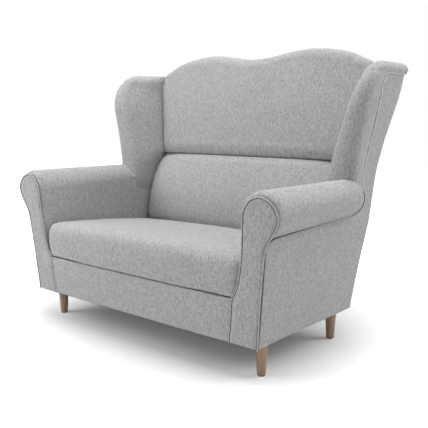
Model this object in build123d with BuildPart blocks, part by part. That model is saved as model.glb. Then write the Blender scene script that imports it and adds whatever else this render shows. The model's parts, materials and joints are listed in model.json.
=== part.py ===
from build123d import *
import os
from math import cos, radians, sin, sqrt, tan

# Two-seater wing sofa: wooden frame, zigzag springs, foam, fitted covers and screw-in legs.
# Millimetres. +Z is up and -Y is the front. Left and right are as seen from the front.
# The origin is on the floor, under the middle of the sofa's box.

os.makedirs("parts", exist_ok=True)

# Fits and thicknesses
CLEAR = 0.3  # between neighbouring pieces
COVER = 4.0  # fabric with its wadding
PANEL_T = 6.0  # outside panels on the arms and wings
FACING_T = 12.0  # padded front panel and arm facings
REAR_PANEL_T = 5.0  # outside back
PANEL_TOP_GAP = 2.0  # outside back below the lap of the upper back cover
SIDE_BOARD_T = 3.0  # fibreboard behind the outside of the arm
BOARD_T = 18.0  # plywood
RAIL_T = 20.0  # seat and back rails
POST_T = 30.0  # back posts, front to rear
POST_W = 40.0  # back posts, across
WEB_T = 1.5  # webbing on the back

# Base
LEG_HEIGHT = 120.0  # floor to the underside of the base
FRONT = -409.8  # front lower edge of the base
BASE_DEPTH = 603.0
BASE_HALF = 577.0  # half width at the bottom, outside the fabric
RAIL_H = 120.0
CENTRE_RAIL_H = 80.0
CENTRE_RAIL_W = 25.0
FRONT_LEAN = 2.6  # degrees that the front leans forward going up
BACK_RAKE = 14.0  # degrees that the back leans back going up

# Outside of the arms and wings, as half widths
NECK_Z = 452.0
NECK_SPREAD = 35.0  # outside the bottom of the base
NECK_HALF = BASE_HALF + NECK_SPREAD
FLARE_Z = 600.0  # where the wing starts to spread
WING_PANEL_TOP = 1014.0

# Legs and what holds them
LEG_IN = 45.0  # leg axis inside the side of the base
LEG_X = BASE_HALF - LEG_IN
LEG_FRONT = 88.0  # from the front edge of the base
LEG_SHORT = 58.0  # rear leg axis in front of the rear edge of the base
LEG_REAR = BASE_DEPTH - LEG_SHORT
LEG_TOP_R = 22.0
LEG_FOOT_R = 15.0
LEG_EDGE = 1.5
GLIDE_T = 4.0
GLIDE_R = 12.0
GLIDE_EDGE = 1.0
BOLT_R = 4.0
BOLT_FIT = 0.2
BOLT_IN_LEG = 40.0
BOLT_SHY = 2.0  # bolt end below the top of its nut
NUT_BARREL_R = 5.5
NUT_BARREL_L = 12.0
NUT_FLANGE_R = 10.0
NUT_FLANGE_T = 1.6
BLOCK_W = 110.0
BLOCK_L = 125.0
BLOCK_H = 36.0
SCREW_R = 2.5
SCREW_FIT = 0.1
SCREW_HEAD_R = 4.5
SCREW_HEAD_T = 2.5
SCREW_GRIP = 30.0  # thread in the block
SCREW_PLACES = (30.0, 55.0)  # from the leg axis towards the middle of the rail
DUST_T = 1.5
DUST_EDGE = 8.0  # dust cover inside the edge of the base
DUST_LEG_GAP = 1.0

# Springing
SPRING_COUNT = 8
SPRING_STEP = 110.0
SPRING_WIRE_R = 1.9
SPRING_STRAIGHT = 20.0  # half of a straight stretch
SPRING_PITCH = 44.0
CLIP_T = 1.2
CLIP_W = 16.0
CLIP_BASE = 15.0
CLIP_LEAF = 11.0
CLIP_BACK = 6.0  # wire axis to the clip's wall
PAD_T = 5.0
PAD_MARGIN = 6.0

# Seat
SEAM_Z = 277.0  # seam between the front panel and the seat
SEAT_IN = 72.0  # seat's ends inside the side of the base
SEAT_HALF = BASE_HALF - SEAT_IN
SEAT_END_DRAW = 29.0
SEAT_FULL_HALF = SEAT_HALF - SEAT_END_DRAW  # where the seat's ends begin to draw in
SEAT_TOP = 424.0
SEAT_REAR_TOP = 372.0
SEAT_CROWN = 12.0  # fall from the middle to the ends
SEAT_OVERHANG = 24.0  # in front of the base's lower edge
SEAT_SHORT = 25.0  # seat's rear edge in front of the rear of the base
SEAT_DEPTH = BASE_DEPTH - SEAT_SHORT
SEAT_NOSE = 46.0  # rounding of the front upper edge
SEAT_BOW = 6.0  # swell of the front face
SEAT_SWELL = 6.0  # swell of the top, front to rear
SEAT_END_RISE = (30.0, 62.0)  # underside of the ends above the seam

# Arms
ARM_OUT = 15.0  # axis of the roll outside the side of the base
ARM_X = BASE_HALF + ARM_OUT
ARM_Z = 553.0
ARM_R = 74.0
ROLL_UNDER = 62.0  # degrees that the roll turns under, outside
ROLL_HEM = 1.0  # turned-down edge of the roll's cover
ARM_SHORT = 43.0  # roll's rear end in front of the rear edge of the base
ARM_LENGTH = BASE_DEPTH - ARM_SHORT
ARM_END = 42.0  # rounding of the roll's rear end
ARM_END_SHRINK = 30.0
ARM_WALL = 38.0  # padding inside the arm
ARM_LOW_FRONT = 408.0
ARM_LOW_REAR = 330.0
ARM_RAIL_W = 25.0
ARM_RAIL_Z = 520.0
ARM_RAIL_H = 50.0
ARM_RAIL_IN = 17.0  # inner face of the rail from the roll's axis
WELT = 5.0

# Arm facings
FACE_FOOT_W = 115.0
FACE_SEAM_STEP = 17.0  # inner edge from the foot to the seam
FACE_NECK_STEP = 41.0  # inner edge from the seam to the neck
FACE_IN_LOW = BASE_HALF - FACE_FOOT_W
FACE_IN_SEAM = FACE_IN_LOW + FACE_SEAM_STEP
FACE_IN_NECK = FACE_IN_SEAM + FACE_NECK_STEP
FACE_NECK_Z = 405.0
FACE_BELLY = 8.0  # bow of the inner edge between seam and neck
FACE_ROLL_OUT = 1.0  # outside the axis of the roll
FACE_ROLL_X = ARM_X + FACE_ROLL_OUT
FACE_ROLL_Z = 546.0
FACE_ROLL_R = 66.0
FACE_UNDER = 30.0  # degrees
BOARD_INSET = 14.0

# Back, in the raked frame: u runs up the back, n forward from its rear face
CREASE_U = 566.0  # crease between the lower and the upper cushion
LOW_BACK_U = 236.0
LOW_BACK_IN = 62.0  # cushion's ends inside the side of the base
LOW_BACK_HALF = BASE_HALF - LOW_BACK_IN
LOW_BACK_N = 117.0
LOW_BACK_END_N = 82.0
LOW_BACK_FOOT = 70.0
LOW_BACK_ROUND = 92.0
LOW_BACK_LEAN = 11.5  # fall of the front face up to the shoulder
LOW_BACK_DRAW = 9.2  # flattening of the shoulder
LOW_BACK_END_DROP = (45.0, 90.0)  # top of the ends below the crease
CREASE_IN = 27.0
CREASE_HALF = LOW_BACK_HALF - CREASE_IN
CREASE_N = 60.0
TOP_SPREAD = 74.0  # outside the crease
TOP_HALF = CREASE_HALF + TOP_SPREAD
SIDE_RISE = 290.2  # height over which the sides spread to TOP_HALF
SIDE_FLARE = TOP_SPREAD / SIDE_RISE
UPPER_N = 86.0
UPPER_END_N = 66.0
UPPER_TUCK = 22.0  # front face behind itself at the crease
UPPER_BOW = 5.0
UPPER_ROUND = 50.0
DIP_U = 1000.0  # top of the back on the middle line
HUMP_RISE = 30.0
HUMP_X = 270.0
SHOULDER_FALL = 76.0  # from the hump down to TOP_HALF
RIDGE_N = 42.0
TOP_REAR_ROUND = 34.0
TOP_CAP = 46.0  # padding above the top rail
TOP_RAIL_SHY = 8.0  # top rail below that padding
BOTTOM_RAIL_U = 236.0
MIDDLE_RAIL_U = 560.0
BACK_RAIL_H = 60.0
TOP_RAIL_DROP = 140.0  # underside of the top rail below the top of the back
TOP_RAIL_END_RISE = 30.0
TOP_RAIL_U = DIP_U - TOP_RAIL_DROP
TOP_RAIL_END_U = TOP_RAIL_U + TOP_RAIL_END_RISE
POST_TOP_Z = 985.0
WEB_COUNT = 6
WEB_W = 60.0
WEB_LOW_U = 310.0
WEB_STEP = 105.0
WEB_HOLD = 18.0  # how far a band lies on each post

# Wings
WING_LOW = 560.0
WING_TOP = 1048.0
ARM_PAST_WING = 56.0
WING_FRONT = ARM_LENGTH - ARM_PAST_WING  # from the front edge of the base
WING_W = 96.0  # outside of the panel from the top of the back cushion
WING_PANEL_HALF = TOP_HALF + WING_W
WING_CORNER_R = 189.0
WING_TOP_R = 34.0
WING_IN_Z = 640.0
WING_LOW_STEP = 28.0  # inner face of the roll outside the crease
WING_IN_LOW = CREASE_HALF + WING_LOW_STEP
WING_IN_HIGH_Z = 985.0
WING_HIGH_STEP = 42.0  # inner face of the roll outside the top of the cushion
WING_IN_HIGH = TOP_HALF + WING_HIGH_STEP
WING_PROUD = 13.0  # roll outside the panel
WING_NOSE = 40.0
WELT_SHORT = 3.0  # roll's outer end in front of the rear edge of the base
WELT_RUN = 40.0
WELT_LOW = BASE_DEPTH - WELT_SHORT
WELT_HIGH = WELT_LOW + WELT_RUN
WELT_HIGH_Z = 813.0
WING_BOARD_IN = 71.0  # board behind the front of the roll
WING_BOARD_FRONT = WING_FRONT + WING_BOARD_IN
WING_ROOT_GAP = 4.5  # wing to the back cushions
CROWN_SHARES = (0.0, 0.5, 0.8, 0.95)  # levels of the wing's rounded top
ARC_SHARE = 0.29  # middle of a quarter arc, as a share of its two sides

LEAN = radians(FRONT_LEAN)
RAKE = radians(BACK_RAKE)
REAR = FRONT + BASE_DEPTH
POST_BACK = REAR_PANEL_T + CLEAR
POST_FRONT = POST_BACK + POST_T
FOAM_BACK = POST_FRONT + WEB_T + 2 * CLEAR
RAIL_TOP = LEG_HEIGHT + RAIL_H
FRONT_RAIL_Y = FRONT + FACING_T / cos(LEAN) + CLEAR
FRAME_FRONT = FRONT + (FACING_T + CLEAR + BOARD_T) / cos(LEAN) + CLEAR
FRAME_HALF = BASE_HALF - PANEL_T - SIDE_BOARD_T - 2 * CLEAR
REAR_RAIL_Y = REAR - POST_BACK / cos(RAKE) - RAIL_T
POST_FOOT_Y = REAR - POST_FRONT / cos(RAKE) - CLEAR
POST_IN = BASE_HALF - PANEL_T - CLEAR - POST_W - CLEAR
BLOCK_OUT = FRAME_HALF - RAIL_T - CLEAR
BLOCK_TOP = LEG_HEIGHT + BLOCK_H
SCREW_L = RAIL_T + CLEAR + SCREW_GRIP
CLIP_Z = RAIL_TOP + CLIP_T + CLEAR + SPRING_WIRE_R
PAD_Z = CLIP_Z + SPRING_WIRE_R + CLIP_T + 2 * CLEAR
SPRING_FRONT = FRONT_RAIL_Y + BOARD_T / 2
SPRING_REAR = REAR_RAIL_Y + RAIL_T / 2
LEG_AXES = {
    "front_left": (-LEG_X, FRONT + LEG_FRONT),
    "front_right": (LEG_X, FRONT + LEG_FRONT),
    "rear_left": (-LEG_X, FRONT + LEG_REAR),
    "rear_right": (LEG_X, FRONT + LEG_REAR),
}


def write(piece, name):
    piece.part.label = name
    export_step(piece.part, f"parts/{name}.step")


def write_pair(right, name):
    with BuildPart() as left:
        mirror(right.part, about=Plane.YZ)
    write(right, name + "_right")
    write(left, name + "_left")


def ease(t):
    t = min(max(t, 0.0), 1.0)
    return t * t * (3 - 2 * t)


def blend(a, b, t):
    return a + (b - a) * min(max(t, 0.0), 1.0)


def front_y(z):
    return FRONT - (z - LEG_HEIGHT) * tan(LEAN)


def rear_y(z, n=0.0):
    return REAR + (z - LEG_HEIGHT) * tan(RAKE) - n / cos(RAKE)


def side_x(z):
    """Half width outside the arm and wing panels."""
    low = blend(BASE_HALF, NECK_HALF, (z - LEG_HEIGHT) / (NECK_Z - LEG_HEIGHT))
    spread = ease((z - FLARE_Z) / (WING_PANEL_TOP - FLARE_Z))
    return low + (WING_PANEL_HALF - NECK_HALF) * spread


def front_plane(depth):
    return Plane(
        origin=(0, FRONT + LEG_HEIGHT * tan(LEAN) + depth / cos(LEAN), 0),
        x_dir=(1, 0, 0),
        z_dir=(0, -cos(LEAN), -sin(LEAN)),
    )


def back_plane(n):
    return Plane(
        origin=(0, REAR - n * cos(RAKE), LEG_HEIGHT + n * sin(RAKE)),
        x_dir=(1, 0, 0),
        z_dir=(0, -cos(RAKE), sin(RAKE)),
    )


def back_point(u, n):
    """Place on a Plane.YZ section of a point u up the back and n in front of its rear face."""
    y = REAR + u * sin(RAKE) - n * cos(RAKE)
    z = LEG_HEIGHT + u * cos(RAKE) + n * sin(RAKE)
    return (y, z)


def up_back(z, n):
    return (z - LEG_HEIGHT - n * sin(RAKE)) / cos(RAKE)


def block(low, high, mode=Mode.ADD):
    """Box between two corners."""
    size = [b - a for a, b in zip(low, high)]
    with Locations(tuple(low)):
        Box(*size, align=(Align.MIN, Align.MIN, Align.MIN), mode=mode)


# Seat frame
with BuildPart() as seat_front_rail:
    front_rail_half = FACE_IN_LOW + BOARD_INSET - CLEAR
    block(
        (-front_rail_half, FRONT_RAIL_Y, LEG_HEIGHT),
        (front_rail_half, FRONT_RAIL_Y + BOARD_T, RAIL_TOP),
    )
write(seat_front_rail, "seat_front_rail")

with BuildPart() as seat_rear_rail:
    block((-POST_IN, REAR_RAIL_Y, LEG_HEIGHT), (POST_IN, REAR_RAIL_Y + RAIL_T, RAIL_TOP))
write(seat_rear_rail, "seat_rear_rail")

with BuildPart() as seat_centre_rail:
    block(
        (-CENTRE_RAIL_W / 2, FRONT_RAIL_Y + BOARD_T, LEG_HEIGHT),
        (CENTRE_RAIL_W / 2, REAR_RAIL_Y, LEG_HEIGHT + CENTRE_RAIL_H),
    )
write(seat_centre_rail, "seat_centre_rail")

# Screws run from outside the side rails into the corner blocks
screw_axes = []
for leg_y, inward in ((FRONT + LEG_FRONT, 1), (FRONT + LEG_REAR, -1)):
    for place in SCREW_PLACES:
        screw_axes.append((FRAME_HALF, leg_y + inward * place, LEG_HEIGHT + BLOCK_H / 2))


def screws(radius, head_radius, head_depth, mode):
    """Screws on the right-hand side, heads flush with the rail's outer face."""
    inward = (Align.CENTER, Align.CENTER, Align.MAX)
    with Locations(*screw_axes):
        Cylinder(radius, SCREW_L, rotation=(0, 90, 0), align=inward, mode=mode)
        Cylinder(head_radius, head_depth, rotation=(0, 90, 0), align=inward, mode=mode)


with BuildPart() as side_rail:
    block((FRAME_HALF - RAIL_T, FRAME_FRONT, LEG_HEIGHT), (FRAME_HALF, POST_FOOT_Y, RAIL_TOP))
    screws(SCREW_R + SCREW_FIT, SCREW_HEAD_R + SCREW_FIT, SCREW_HEAD_T + SCREW_FIT, Mode.SUBTRACT)
write_pair(side_rail, "seat_side_rail")

with BuildPart() as frame_screws:
    screws(SCREW_R, SCREW_HEAD_R, SCREW_HEAD_T, Mode.ADD)
    mirror(about=Plane.YZ)
write(frame_screws, "frame_screws")

with BuildPart() as corner_blocks:
    for start in (FRAME_FRONT, POST_FOOT_Y - BLOCK_L):
        block((BLOCK_OUT - BLOCK_W, start, LEG_HEIGHT), (BLOCK_OUT, start + BLOCK_L, BLOCK_TOP))
    for leg_y in (FRONT + LEG_FRONT, FRONT + LEG_REAR):
        with Locations((LEG_X, leg_y, LEG_HEIGHT + BLOCK_H / 2)):
            Cylinder(NUT_BARREL_R + BOLT_FIT, BLOCK_H, mode=Mode.SUBTRACT)
    screws(SCREW_R + SCREW_FIT, SCREW_R + SCREW_FIT, SCREW_L, Mode.SUBTRACT)
    mirror(about=Plane.YZ)
write(corner_blocks, "corner_blocks")

# Legs, with the bolts, nuts and glides that all four share
STAND = (Align.CENTER, Align.CENTER, Align.MIN)
for corner, (leg_x, leg_y) in LEG_AXES.items():
    with BuildPart() as leg:
        with Locations((leg_x, leg_y, GLIDE_T)):
            Cone(LEG_FOOT_R, LEG_TOP_R, LEG_HEIGHT - GLIDE_T, align=STAND)
        fillet(leg.edges().group_by(Axis.Z)[0], LEG_EDGE)
        with Locations((leg_x, leg_y, LEG_HEIGHT - BOLT_IN_LEG)):
            Cylinder(BOLT_R + BOLT_FIT, BOLT_IN_LEG, align=STAND, mode=Mode.SUBTRACT)
    write(leg, "leg_" + corner)

with BuildPart() as leg_bolts:
    with Locations(*[(x, y, LEG_HEIGHT - BOLT_IN_LEG) for x, y in LEG_AXES.values()]):
        Cylinder(BOLT_R, BOLT_IN_LEG + BLOCK_H - BOLT_SHY, align=STAND)
write(leg_bolts, "leg_bolts")

with BuildPart() as leg_nuts:
    with Locations(*[(x, y, BLOCK_TOP) for x, y in LEG_AXES.values()]):
        Cylinder(NUT_FLANGE_R, NUT_FLANGE_T, align=STAND)
        Cylinder(NUT_BARREL_R, NUT_BARREL_L, align=(Align.CENTER, Align.CENTER, Align.MAX))
        Cylinder(BOLT_R + BOLT_FIT, 2 * (NUT_BARREL_L + NUT_FLANGE_T), mode=Mode.SUBTRACT)
write(leg_nuts, "leg_nuts")

with BuildPart() as leg_glides:
    with Locations(*[(x, y, 0) for x, y in LEG_AXES.values()]):
        Cylinder(GLIDE_R, GLIDE_T, align=STAND)
    fillet(leg_glides.edges().group_by(Axis.Z)[0], GLIDE_EDGE)
write(leg_glides, "leg_glides")

with BuildPart() as dust_cover:
    dust_half = BASE_HALF - DUST_EDGE
    block(
        (-dust_half, FRONT + DUST_EDGE, LEG_HEIGHT - DUST_T),
        (dust_half, REAR - DUST_EDGE, LEG_HEIGHT),
    )
    with Locations(*[(x, y, LEG_HEIGHT - DUST_T) for x, y in LEG_AXES.values()]):
        Cylinder(LEG_TOP_R + DUST_LEG_GAP, 2 * DUST_T, mode=Mode.SUBTRACT)
write(dust_cover, "dust_cover")

# Springing: each spring is one wire, bent to and fro from the front rail to the rear rail
spring_places = [(i - (SPRING_COUNT - 1) / 2) * SPRING_STEP for i in range(SPRING_COUNT)]
spring_rows = round((SPRING_REAR - SPRING_FRONT) / SPRING_PITCH) + 1
row_step = (SPRING_REAR - SPRING_FRONT) / (spring_rows - 1)

with BuildPart() as seat_springs:
    for place in spring_places:
        with BuildLine(Plane.XY.offset(CLIP_Z)) as wire:
            side = 1
            for row in range(spring_rows):
                y = SPRING_FRONT + row * row_step
                edge = place + side * SPRING_STRAIGHT
                Line((place - side * SPRING_STRAIGHT, y), (edge, y))
                if row < spring_rows - 1:
                    bow = edge + side * row_step / 2
                    ThreePointArc((edge, y), (bow, y + row_step / 2), (edge, y + row_step))
                side = -side
        with BuildSketch(Plane(origin=wire.line @ 0, z_dir=wire.line % 0)):
            Circle(SPRING_WIRE_R)
        sweep(path=wire.line)
write(seat_springs, "seat_springs")

with BuildPart() as spring_clips:
    leaf_low = CLIP_Z + SPRING_WIRE_R + CLEAR
    for wire_y, back in ((SPRING_FRONT, 1), (SPRING_REAR, -1)):
        wall = wire_y - back * CLIP_BACK
        for place in spring_places:
            with BuildSketch(Plane.YZ.offset(place - CLIP_W / 2)):
                with BuildLine():
                    Polyline(
                        (wall - back * CLIP_T, RAIL_TOP),
                        (wall + back * CLIP_BASE, RAIL_TOP),
                        (wall + back * CLIP_BASE, RAIL_TOP + CLIP_T),
                        (wall, RAIL_TOP + CLIP_T),
                        (wall, leaf_low),
                        (wall + back * CLIP_LEAF, leaf_low),
                        (wall + back * CLIP_LEAF, leaf_low + CLIP_T),
                        (wall - back * CLIP_T, leaf_low + CLIP_T),
                        close=True,
                    )
                make_face()
            extrude(amount=CLIP_W)
write(spring_clips, "spring_clips")

with BuildPart() as spring_pad:
    block(
        (-SEAT_FULL_HALF, SPRING_FRONT - PAD_MARGIN, PAD_Z),
        (SEAT_FULL_HALF, SPRING_REAR + PAD_MARGIN, PAD_Z + PAD_T),
    )
write(spring_pad, "spring_pad")

with BuildPart() as seat_base_foam:
    block(
        (-SEAT_FULL_HALF, FRONT_RAIL_Y, PAD_Z + PAD_T + CLEAR),
        (SEAT_FULL_HALF, FRONT + SEAT_DEPTH, SEAM_Z - CLEAR),
    )
write(seat_base_foam, "seat_base_foam")


# Seat: a crowned bench cushion whose ends draw in to fit between the arm facings
def seat_section(x, inset, low):
    fall = SEAT_CROWN * (x / SEAT_HALF) ** 2
    front = FRONT - SEAT_OVERHANG + inset + fall
    top = SEAT_TOP - fall - inset
    rear = FRONT + SEAT_DEPTH - inset
    rear_top = SEAT_REAR_TOP - fall - inset
    nose = SEAT_NOSE - inset
    foot = (front + SEAT_BOW, low)
    brow = (front + SEAT_BOW / 4, top - nose)
    lip = (brow[0] + nose, top)
    crown = ((lip[0] + rear) / 2, (top + rear_top) / 2 + SEAT_SWELL)
    with BuildSketch(Plane.YZ.offset(x)) as section:
        with BuildLine():
            ThreePointArc(foot, (front, (low + top - nose) / 2), brow)
            ThreePointArc(brow, (brow[0] + ARC_SHARE * nose, top - ARC_SHARE * nose), lip)
            ThreePointArc(lip, crown, (rear, rear_top))
            Polyline((rear, rear_top), (rear, low), foot)
        make_face()
    return section.sketch


def seat_form(inset, low, mode):
    full = SEAT_FULL_HALF
    loft([seat_section(i / 2 * full, inset, low) for i in range(-2, 3)], mode=mode)
    tip = SEAT_HALF - inset
    ends = ((full, 0.0), ((full + tip) / 2, SEAT_END_RISE[0]), (tip, SEAT_END_RISE[1]))
    for side in (-1, 1):
        loft([seat_section(side * x, inset, low + rise) for x, rise in ends], ruled=True, mode=mode)


with BuildPart() as seat_cover:
    seat_form(0, SEAM_Z, Mode.ADD)
    seat_form(COVER, SEAM_Z - COVER, Mode.SUBTRACT)
write(seat_cover, "seat_cover")

with BuildPart() as seat_foam:
    seat_form(COVER + CLEAR, SEAM_Z, Mode.ADD)
write(seat_foam, "seat_foam")


# Back cushions
def top_u(x):
    """Top of the back, with its two humps."""
    rise = HUMP_RISE * ease(abs(x) / HUMP_X)
    beyond = max(abs(x) - HUMP_X, 0.0) / (TOP_HALF - HUMP_X)
    return DIP_U + rise - SHOULDER_FALL * beyond**2


def side_u(x):
    """Lower edge of the upper cushion, which rises along its spreading sides."""
    return CREASE_U + max(abs(x) - CREASE_HALF, 0.0) / SIDE_FLARE


def lower_section(x, inset, drop, rear_n):
    front_n = blend(LOW_BACK_N, LOW_BACK_END_N, (x / LOW_BACK_HALF) ** 4) - inset
    low = LOW_BACK_U + inset
    high = CREASE_U - drop - inset
    waist = low + LOW_BACK_ROUND
    brow = high - LOW_BACK_ROUND
    foot_n = min(LOW_BACK_FOOT, front_n) - inset
    crease_n = min(CREASE_N, front_n) - inset
    foot = back_point(low, foot_n)
    belly = back_point(waist, front_n)
    shoulder = back_point(brow, front_n - LOW_BACK_LEAN)
    crease = back_point(high, crease_n)
    with BuildSketch(Plane.YZ.offset(x)) as section:
        with BuildLine():
            low_mid = back_point(low + ARC_SHARE * LOW_BACK_ROUND, blend(front_n, foot_n, ARC_SHARE))
            ThreePointArc(foot, low_mid, belly)
            ThreePointArc(belly, back_point((waist + brow) / 2, front_n), shoulder)
            high_mid_n = blend(front_n, crease_n, ARC_SHARE) - LOW_BACK_DRAW
            high_mid = back_point(high - ARC_SHARE * LOW_BACK_ROUND, high_mid_n)
            ThreePointArc(shoulder, high_mid, crease)
            Polyline(crease, back_point(high, rear_n), back_point(low, rear_n), foot)
        make_face()
    return section.sketch


def lower_form(inset, rear_n, mode):
    full = CREASE_HALF
    loft([lower_section(i / 2 * full, inset, 0, rear_n) for i in range(-2, 3)], mode=mode)
    tip = LOW_BACK_HALF - inset
    ends = ((full, 0.0), ((full + tip) / 2, LOW_BACK_END_DROP[0]), (tip, LOW_BACK_END_DROP[1]))
    for side in (-1, 1):
        sections = [lower_section(side * x, inset, drop, rear_n) for x, drop in ends]
        loft(sections, ruled=True, mode=mode)


with BuildPart() as lower_back_cover:
    lower_form(0, FOAM_BACK, Mode.ADD)
    lower_form(COVER, FOAM_BACK - COVER, Mode.SUBTRACT)
write(lower_back_cover, "lower_back_cover")

with BuildPart() as lower_back_foam:
    lower_form(COVER + CLEAR, FOAM_BACK, Mode.ADD)
write(lower_back_foam, "lower_back_foam")


def upper_section(x, inset, slip):
    """Front face, rounded top and the lap over the top rail. slip opens the rear of a hollow."""
    front_n = blend(UPPER_N, UPPER_END_N, (x / TOP_HALF) ** 4) - inset
    low = side_u(x) + CLEAR + inset
    high = top_u(x) - inset
    ledge = top_u(x) - TOP_CAP - slip
    lap_n = inset
    rear_n = FOAM_BACK - slip
    bend = min(UPPER_ROUND, (high - low) / 3)
    foot = back_point(low, front_n - UPPER_TUCK)
    chest = back_point(low + bend, front_n)
    brow = back_point(high - bend, front_n)
    ridge = back_point(high, RIDGE_N)
    nape = back_point(high - TOP_REAR_ROUND, lap_n)
    with BuildSketch(Plane.YZ.offset(x)) as section:
        with BuildLine():
            low_mid = back_point(low + ARC_SHARE * bend, front_n - ARC_SHARE * UPPER_TUCK)
            ThreePointArc(foot, low_mid, chest)
            ThreePointArc(chest, back_point((low + high) / 2, front_n + UPPER_BOW), brow)
            top_mid = blend(front_n, RIDGE_N, ARC_SHARE)
            ThreePointArc(brow, back_point(high - ARC_SHARE * bend, top_mid), ridge)
            rear_mid = blend(lap_n, RIDGE_N, ARC_SHARE)
            ThreePointArc(ridge, back_point(high - ARC_SHARE * TOP_REAR_ROUND, rear_mid), nape)
            Polyline(
                nape,
                back_point(ledge, lap_n),
                back_point(ledge, rear_n),
                back_point(low, rear_n),
                foot,
            )
        make_face()
    return section.sketch


def upper_form(inset, slip, mode):
    full = CREASE_HALF
    loft([upper_section(i / 4 * full, inset, slip) for i in range(-4, 5)], mode=mode)
    tip = TOP_HALF - inset
    for side in (-1, 1):
        ends = [side * x for x in (full, (full + tip) / 2, tip)]
        loft([upper_section(x, inset, slip) for x in ends], ruled=True, mode=mode)


with BuildPart() as upper_back_cover:
    upper_form(0, 0, Mode.ADD)
    upper_form(COVER, COVER, Mode.SUBTRACT)
write(upper_back_cover, "upper_back_cover")

with BuildPart() as upper_back_foam:
    upper_form(COVER + CLEAR, 0, Mode.ADD)
write(upper_back_foam, "upper_back_foam")


# Back frame
def post_section(z):
    outer = side_x(z) - PANEL_T - CLEAR
    with BuildSketch(Plane.XY.offset(z)) as section:
        with BuildLine():
            Polyline(
                (outer, rear_y(z, POST_BACK)),
                (outer - POST_W, rear_y(z, POST_BACK)),
                (outer - POST_W, rear_y(z, POST_FRONT)),
                (outer, rear_y(z, POST_FRONT)),
                close=True,
            )
        make_face()
    return section.sketch


WING_LEVELS = [WING_LOW + (POST_TOP_Z - WING_LOW) * i / 6 for i in range(7)]

with BuildPart() as back_post:
    loft([post_section(z) for z in (LEG_HEIGHT, NECK_Z, *WING_LEVELS)], ruled=True)
write_pair(back_post, "back_post")


def between_posts(u):
    """Half length of a rail between the posts, at its narrower lower edge."""
    z = LEG_HEIGHT + u * cos(RAKE)
    return side_x(z) - PANEL_T - POST_W - 2 * CLEAR


for name, rail_u in (("back_bottom_rail", BOTTOM_RAIL_U), ("back_middle_rail", MIDDLE_RAIL_U)):
    with BuildPart() as back_rail:
        with BuildSketch(back_plane(POST_BACK)):
            with Locations((0, rail_u)):
                Rectangle(2 * between_posts(rail_u), BACK_RAIL_H, align=(Align.CENTER, Align.MIN))
        extrude(amount=RAIL_T)
    write(back_rail, name)

with BuildPart() as back_top_rail:
    rail_end = between_posts(TOP_RAIL_U) - CLEAR
    rail_tops = [(HUMP_X * i / 3, top_u(HUMP_X * i / 3) - TOP_CAP - TOP_RAIL_SHY) for i in range(4)]
    shoulder_x = (HUMP_X + TOP_HALF) / 2
    rail_tops.append((shoulder_x, top_u(shoulder_x) - TOP_CAP - TOP_RAIL_SHY))
    rail_tops.append((TOP_HALF, top_u(TOP_HALF) - TOP_CAP - TOP_RAIL_SHY))
    rail_tops.append((rail_end, TOP_RAIL_END_U))
    left_tops = [(-x, u) for x, u in reversed(rail_tops[1:])]
    with BuildSketch(back_plane(POST_BACK)):
        with BuildLine():
            Polyline(
                (rail_end, TOP_RAIL_END_U),
                (rail_end, TOP_RAIL_U),
                (-rail_end, TOP_RAIL_U),
                (-rail_end, TOP_RAIL_END_U),
            )
            Polyline(*left_tops, *rail_tops)
        make_face()
    extrude(amount=RAIL_T)
write(back_top_rail, "back_top_rail")

with BuildPart() as back_webbing:
    for i in range(WEB_COUNT):
        band_u = WEB_LOW_U + i * WEB_STEP
        with BuildSketch(back_plane(POST_FRONT + CLEAR)):
            with Locations((0, band_u)):
                Rectangle(2 * (between_posts(band_u) + WEB_HOLD), WEB_W)
        extrude(amount=WEB_T)
write(back_webbing, "back_webbing")

with BuildPart() as rear_panel:
    panel_levels = [LEG_HEIGHT, NECK_Z, *WING_LEVELS]
    side_points = [(side_x(z) - PANEL_T - CLEAR, up_back(z, 0)) for z in panel_levels]
    top_x = [TOP_HALF * i / 16 for i in range(17)]
    top_points = [(x, top_u(x) - TOP_CAP - PANEL_TOP_GAP) for x in top_x]
    right_edge = [*side_points, *reversed(top_points)]
    left_edge = [(-x, u) for x, u in reversed(right_edge[:-1])]
    with BuildSketch(back_plane(0)):
        with BuildLine():
            Polyline(*right_edge, *left_edge, close=True)
        make_face()
    extrude(amount=REAR_PANEL_T)
write(rear_panel, "rear_panel")


# Arms
def facing_outline():
    """Keyhole outline of the right arm's front."""
    seam = (FACE_IN_SEAM, SEAM_Z)
    neck = (FACE_IN_NECK, FACE_NECK_Z)
    belly = ((FACE_IN_SEAM + FACE_IN_NECK) / 2 + FACE_BELLY, (SEAM_Z + FACE_NECK_Z) / 2)
    under = radians(FACE_UNDER)

    def on_roll(angle):
        return (FACE_ROLL_X + FACE_ROLL_R * cos(angle), FACE_ROLL_Z + FACE_ROLL_R * sin(angle))

    with BuildLine() as outline:
        Line((FACE_IN_LOW, LEG_HEIGHT), seam)
        ThreePointArc(seam, belly, neck)
        Line(neck, (FACE_ROLL_X - FACE_ROLL_R, FACE_ROLL_Z))
        ThreePointArc(on_roll(radians(180)), on_roll(radians(135)), on_roll(radians(90)))
        ThreePointArc(on_roll(radians(90)), on_roll(radians(30)), on_roll(-under))
        Polyline(
            on_roll(-under),
            (side_x(NECK_Z), NECK_Z),
            (BASE_HALF, LEG_HEIGHT),
            (FACE_IN_LOW, LEG_HEIGHT),
        )
    return outline.edges()


with BuildPart() as arm_facing:
    with BuildSketch(front_plane(0)):
        make_face(facing_outline())
        offset(amount=-WELT - CLEAR, kind=Kind.INTERSECTION)
    extrude(amount=-FACING_T)
    fillet(arm_facing.faces().sort_by(Axis.Y)[0].edges(), WELT / 2)
write_pair(arm_facing, "arm_facing")

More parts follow.
